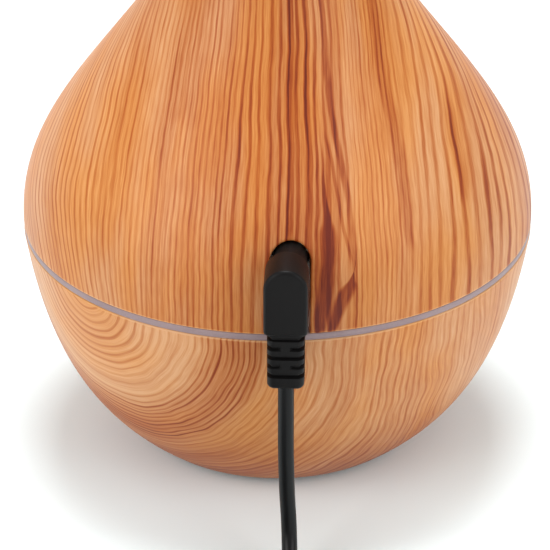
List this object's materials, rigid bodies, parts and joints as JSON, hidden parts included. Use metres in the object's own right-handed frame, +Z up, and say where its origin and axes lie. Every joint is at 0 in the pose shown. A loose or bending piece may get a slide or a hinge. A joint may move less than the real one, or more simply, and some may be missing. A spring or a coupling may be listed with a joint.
{
  "type": "essential oil diffuser",
  "caption": "Vase-shaped wood-grain ultrasonic aroma diffuser with lift-off cover, water tank, light ring, front buttons and a right-angle low-voltage power lead.",
  "frame": {"origin": "on the table, under the middle of the round body; the rubber feet's faces are at z = 0", "axes": "+Z up; -Y is the front with the two buttons; +Y is the back, where the power lead plugs in"},
  "size_m": [0.1205, 0.1753, 0.143],
  "materials": {
    "wood_cover": "satin, fine upright wood grain printed on the moulding",
    "wood_base": "satin, curved wood grain printed on the moulding",
    "white_plastic": "fine satin moulding",
    "frosted_ring": "frosted translucent light guide",
    "black_plastic": "fine matt moulding",
    "black_rubber": "matt rubber",
    "soft_pvc": "satin soft black moulding",
    "tie_plastic": "matt plastic strip",
    "silicone": "translucent white silicone",
    "steel": "zinc-plated or brushed",
    "nickel": "bright nickel plate",
    "brass_contact": "bright contact plate",
    "plug_insulator": "plain moulding",
    "copper_wire": "lacquered copper wire",
    "capacitor_sleeve": "shrink sleeve",
    "circuit_board": "green solder mask",
    "led_lens": "clear resin",
    "magnet": "sintered",
    "red_wire": "wire jacket",
    "black_wire": "wire jacket",
    "white_wire": "wire jacket",
    "blue_wire": "cable jacket"
  },
  "bodies": {
    "base": {"base_shell": "wood_base", "bottom_cover": "black_plastic", "rubber_feet": "black_rubber", "bottom_screws": "steel", "light_ring": "frosted_ring", "deck_seal": "silicone", "tank": "white_plastic", "deck": "white_plastic", "air_duct": "white_plastic", "piezo_disc": "nickel", "piezo_seal": "silicone", "piezo_clamp": "white_plastic", "piezo_screws": "steel", "main_board": "circuit_board", "board_screws": "steel", "drive_coil": "copper_wire", "capacitors": "capacitor_sleeve", "power_transistor": "black_plastic", "heat_sink": "steel", "control_chip": "black_plastic", "board_connectors": "white_plastic", "led_board": "circuit_board", "leds": "led_lens", "fan_frame": "black_plastic", "fan_stator": "copper_wire", "fan_screws": "steel", "dc_jack": "black_plastic", "jack_pin": "nickel", "switch_board": "circuit_board", "switch_screws": "steel", "mist_switch": "black_plastic", "light_switch": "black_plastic", "piezo_wires": "red_wire", "fan_wires": "black_wire", "jack_wires": "red_wire", "led_wires": "white_wire", "switch_wires": "blue_wire"},
    "fan": {"fan_rotor": "black_plastic", "fan_shaft": "steel", "fan_magnet": "magnet"},
    "mist_key": {"mist_button": "wood_base", "mist_plunger": "white_plastic"},
    "light_key": {"light_button": "wood_base", "light_plunger": "white_plastic"},
    "cover": {"top_cover": "wood_cover", "mist_guide": "white_plastic"},
    "lead": {"plug_overmould": "soft_pvc", "plug_barrel": "nickel", "plug_insulator": "plug_insulator", "plug_contact": "brass_contact", "lead_cable": "soft_pvc", "lead_coil": "soft_pvc", "lead_tail": "soft_pvc", "lead_tie": "tie_plastic", "usb_overmould": "soft_pvc", "usb_shell": "steel", "usb_tongue": "white_plastic", "usb_contacts": "brass_contact"}
  },
  "joints": [
    {"name": "fan_spin", "type": "hinge", "parent": "base", "child": "fan", "pos_m": [0, -0.007, 0.007], "axis": [0, 0, 1], "continuous": true},
    {"name": "mist_button_press", "type": "slide", "parent": "base", "child": "mist_key", "axis": [0, 1, 0], "range_m": [0, 0.0006], "stiffness_N_per_m": 1500},
    {"name": "light_button_press", "type": "slide", "parent": "base", "child": "light_key", "axis": [0, 1, 0], "range_m": [0, 0.0006], "stiffness_N_per_m": 1500},
    {"name": "cover_lift", "type": "slide", "parent": "base", "child": "cover", "axis": [0, 0, 1], "range_m": [0, 0.06]},
    {"name": "plug_pull", "type": "slide", "parent": "base", "child": "lead", "axis": [0, 1, 0], "range_m": [0, 0.02]}
  ]
}
